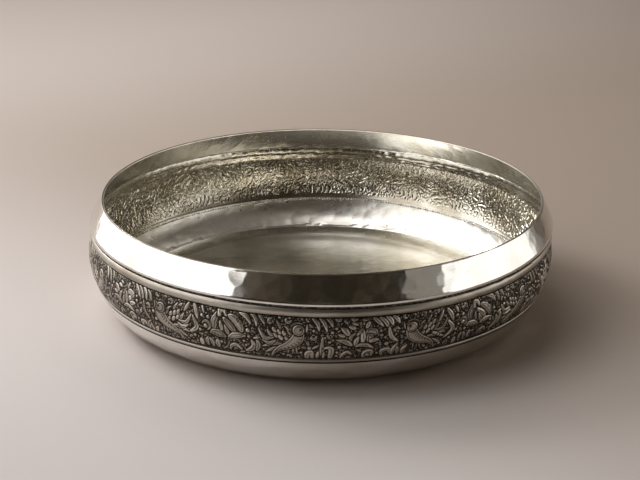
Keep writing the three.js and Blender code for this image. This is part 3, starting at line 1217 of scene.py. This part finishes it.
def uneven(shape, reach, depth, seed):
    """Soft random bumps, about reach points across."""
    bumps = softened(np.random.default_rng(seed).normal(0, 1, shape), reach)
    return bumps * (depth / bumps.std())


fillet_line = np.array([Vector(wall_top_at).lerp(fillet_head, s) for s in np.linspace(0, 1, 6)])
inner_levels = np.linspace(fillet_top, belt_top, belt_inner_rows)[1:]
inner_belt = np.concatenate([fillet_line, np.stack([belt_radius(inner_levels), inner_levels], -1)])
crumple = uneven(band.relief.shape, 5, crumple_depth, seed=41)
reverse = reverse_depth * (softened(band.relief, 12) - softened(band.relief, 2)) + crumple
inner_heights = inner_belt[:, 1:]
lines = raised_line(inner_heights, wall_top + 0.3 * MM) + raised_line(inner_heights, belt_top - 0.2 * MM)
for side, span, angles, levels in belt_halves(belt_inner_columns, inner_belt[:, 1]):
    sunk = band.at(reverse, angles, levels)
    sunk = sunk * np.clip((inner_heights - fillet_top) / belt_fades, 0, 1)
    sunk = sunk * np.clip((belt_top - inner_heights) / belt_fades, 0, 1)
    lining_piece(
        "lining_belt_" + side, inner_belt, belt_inner_columns, sunk + ridge * lines, span=span,
        finish=reverse_tin,
    )

# Behind the bead and the collar. The groove between them is a raised line here, roughened by its stipple.
bead_steps = 13
collar_inner_columns = 1000
stipple_depth = 0.07 * MM
bead_line = np.array([bead_foot.lerp(bead_head, s) for s in np.linspace(0, 1, bead_steps)])
inner_collar = np.concatenate([bead_line, shoulder(9), collar_lean])
inner_collar[-1, 1] -= clearance
channel = np.zeros(len(inner_collar))
channel[:bead_steps] = bead_hollow * np.sin(math.pi * np.linspace(0, 1, bead_steps)) ** 2
rim_dents = blows_on_a_wall(
    inner_collar, collar_inner_columns, (13 * MM, 11 * MM), (0.35, 0.5), seed=35, lean=0.004
)
rim_dents -= rim_dents.min()
rim_heights = inner_collar[:, 1:]
over_groove = np.clip((rim_heights - groove_top) / collar_settles, 0, 1)
stippled = uneven(rim_dents.shape, 2, stipple_depth, seed=47) * (1 - over_groove)
rim_dents = rim_dents * np.clip(over_groove, 0.3, 1) + stippled
rim_dents = rim_dents + ridge * raised_line(rim_heights, groove_top - 0.5 * MM)
rim_dents -= rim_dents.min()
bead_rows, collar_rows = slice(0, bead_steps + 1), slice(bead_steps, None)
lining_piece(
    "lining_bead", inner_collar[bead_rows], collar_inner_columns, rim_dents[bead_rows],
    hollow=channel[bead_rows], finish=reverse_tin,
)
lining_piece(
    "lining_collar", inner_collar[collar_rows], collar_inner_columns, rim_dents[collar_rows],
    hollow=channel[collar_rows],
)

# Under the raised line runs a row of small dots that stand out from the wall.
dots_under_line = 1.1 * MM
dots_proud = 0.4 * MM
dot_level = wall_top - dots_under_line
dot_turn = math.acos(1 - dot_level / heel_rise)
dot_inset = lining_face + lap_rise + dots_proud
dot_radius = floor_radius + (heel_rise - dot_inset) * math.sin(dot_turn)
inner_marks = marks(
    "inner_marks", lining_tin, dot_radius, dot_level + dot_inset * math.cos(dot_turn), 0.75 * MM,
    pitch=2.1 * MM, seed=9, waver=0.15 * MM,
)
fitted(inner_marks, lining_tin, "tin_lining", "tin_lining")


# Studio
# A pale table in a dim room. Its paper is painted with the light's falloff to the right and back, and painted
# dark in front as shade.
# Soft boxes stand to the left, behind and overhead. The low box to the left and the two cards to the right
# show only in the metal, and the gap behind the camera stays dark.

lens = 94.92
sensor = 36
camera_rise = math.radians(22.708)
camera_reach = 1186.74 * MM
camera_roll = 0.0071
aim_at = Vector((-1.325, 0, 44.936)) * MM

eye_place = Vector((0, -math.cos(camera_rise), math.sin(camera_rise))) * camera_reach
ahead = (aim_at - eye_place).normalized()
level_right = ahead.cross(Vector((0, 0, 1))).normalized()
level_up = level_right.cross(ahead)
right = level_right * math.cos(camera_roll) + level_up * math.sin(camera_roll)
up = level_up * math.cos(camera_roll) - level_right * math.sin(camera_roll)
camera_data = bpy.data.cameras.new("camera")
camera_data.lens = lens
camera_data.sensor_width = sensor
camera_data.clip_start = 0.05
camera_data.clip_end = 40
camera = bpy.data.objects.new("camera", camera_data)
camera.matrix_world = Matrix.Translation(eye_place) @ Matrix((right, up, -ahead)).transposed().to_4x4()
bpy.context.scene.collection.objects.link(camera)
bpy.context.scene.camera = camera


def soft_box(name, foot, lean, wide, tall, level, colour, mirrored_only=False):
    """A flat soft box that stands round the bowl and faces it. foot is the middle of its lower edge, lean is
    how many degrees it tips over the bowl, and level is how bright it looks, where 1 is white. One that is
    mirrored only shows in the metal and throws no light on the table."""
    foot = Vector(foot)
    inward = -Vector((foot.x, foot.y, 0)).normalized()
    lean = math.radians(lean)
    upward = inward * math.sin(lean) + Vector((0, 0, math.cos(lean)))
    facing = inward * math.cos(lean) - Vector((0, 0, math.sin(lean)))
    data = bpy.data.lights.new(name, "AREA")
    data.shape = "RECTANGLE"
    data.size = wide
    data.size_y = tall
    data.color = colour
    data.energy = level * math.pi * wide * tall
    lamp = bpy.data.objects.new(name, data)
    turned = Matrix((upward.cross(-facing), upward, -facing)).transposed().to_4x4()
    lamp.matrix_world = Matrix.Translation(foot + upward * tall / 2) @ turned
    lamp.visible_camera = False
    lamp.visible_diffuse = not mirrored_only
    bpy.context.scene.collection.objects.link(lamp)


neutral = (1.0, 0.985, 0.965)
warm = (1.0, 0.93, 0.85)
soft_box("left_box", (-0.85, 0.1, 0.005), 14, 2.2, 0.7, 1.55, neutral, mirrored_only=True)
soft_box("left_top_box", (-0.7, 0.15, 0.68), 45, 2.0, 0.5, 1.4, neutral)
soft_box("over", (-0.7, 0.0, 1.4), 70, 0.8, 0.8, 1.4, neutral)
soft_box("ceiling", (-0.3, 0.0, 1.25), 90, 1.4, 1.4, 0.10, warm)
soft_box("key", (-1.2, 0.7, 0.7), 35, 0.6, 0.5, 7.6, neutral)
soft_box("left_key", (-1.15, 0.0, 1.1), 50, 0.6, 0.5, 2.4, neutral)
soft_box("back", (0.0, 1.3, 0.85), 40, 0.8, 0.6, 1.8, warm)
soft_box("right_card", (0.8, -0.06, 0.005), 10, 0.85, 0.34, 1.15, neutral, mirrored_only=True)
soft_box("right_wall", (0.95, -0.1, 0.005), 10, 1.7, 0.7, 0.2, warm, mirrored_only=True)

room_dark = (0.019, 0.016, 0.011)
room_dim = (0.072, 0.056, 0.039)
world = bpy.data.worlds.new("dim_room")
world.use_nodes = True
world.node_tree.nodes.clear()
room = Nodes(world.node_tree)
bearing = room.node("ShaderNodeTexCoord", {}, {}, "Generated")
gloom = room.node("ShaderNodeTexNoise", {}, {"Vector": bearing, "Scale": 5.0, "Detail": 2.0}, "Fac")
gloom = room.blend(room.step(gloom, 0.42, 0.62), room_dark, room_dim)
dim = room.node("ShaderNodeBackground", {}, {"Color": gloom, "Strength": 1.0})
room.node("ShaderNodeOutputWorld", {}, {"Surface": dim})
bpy.context.scene.world = world

# The table's paper is palest at the near left. Its colour carries a painted falloff of light, browner to the
# right and greyer at the far left, and painted shade that makes it dark in front of the picture, where the
# collar mirrors it.
paper_pale = (0.85, 0.79, 0.775)
painted_falloff_brown = (0.52, 0.435, 0.372)
painted_falloff_grey = (0.67, 0.60, 0.56)
painted_front_shade = (0.05, 0.038, 0.03)
table_reach = 9.0
table = Finish("table")
across = table.along("X")
away = table.along("Y")
# Painted falloff of the light: the paper is painted browner towards the right and back, and greyer at the far
# left.
paper_with_painted_light = table.blend(table.step(away + across * 0.8, -0.30, 0.25), paper_pale, painted_falloff_brown)
paper_with_painted_light = table.blend(table.step(away - across * 0.8, 0.28, 0.95), paper_with_painted_light, painted_falloff_grey)
# Painted shade: the paper is painted nearly black in front of the picture.
paper_with_painted_light = table.blend(table.step(away, -0.75, -0.42), painted_front_shade, paper_with_painted_light)
paper_with_painted_light = table.node("ShaderNodeBsdfDiffuse", {}, {"Color": paper_with_painted_light})
table.node("ShaderNodeOutputMaterial", {}, {"Surface": paper_with_painted_light})
table_mesh = bpy.data.meshes.new("table_top")
corners = [(x * table_reach, y * table_reach, 0) for x, y in ((-1, -1), (1, -1), (1, 1), (-1, 1))]
table_mesh.from_pydata(corners, [], [(0, 1, 2, 3)])
table_mesh.materials.append(table.material)
table_top = bpy.data.objects.new("table_top", table_mesh)
bpy.context.scene.collection.objects.link(table_top)

bpy.context.scene.view_settings.view_transform = "Standard"
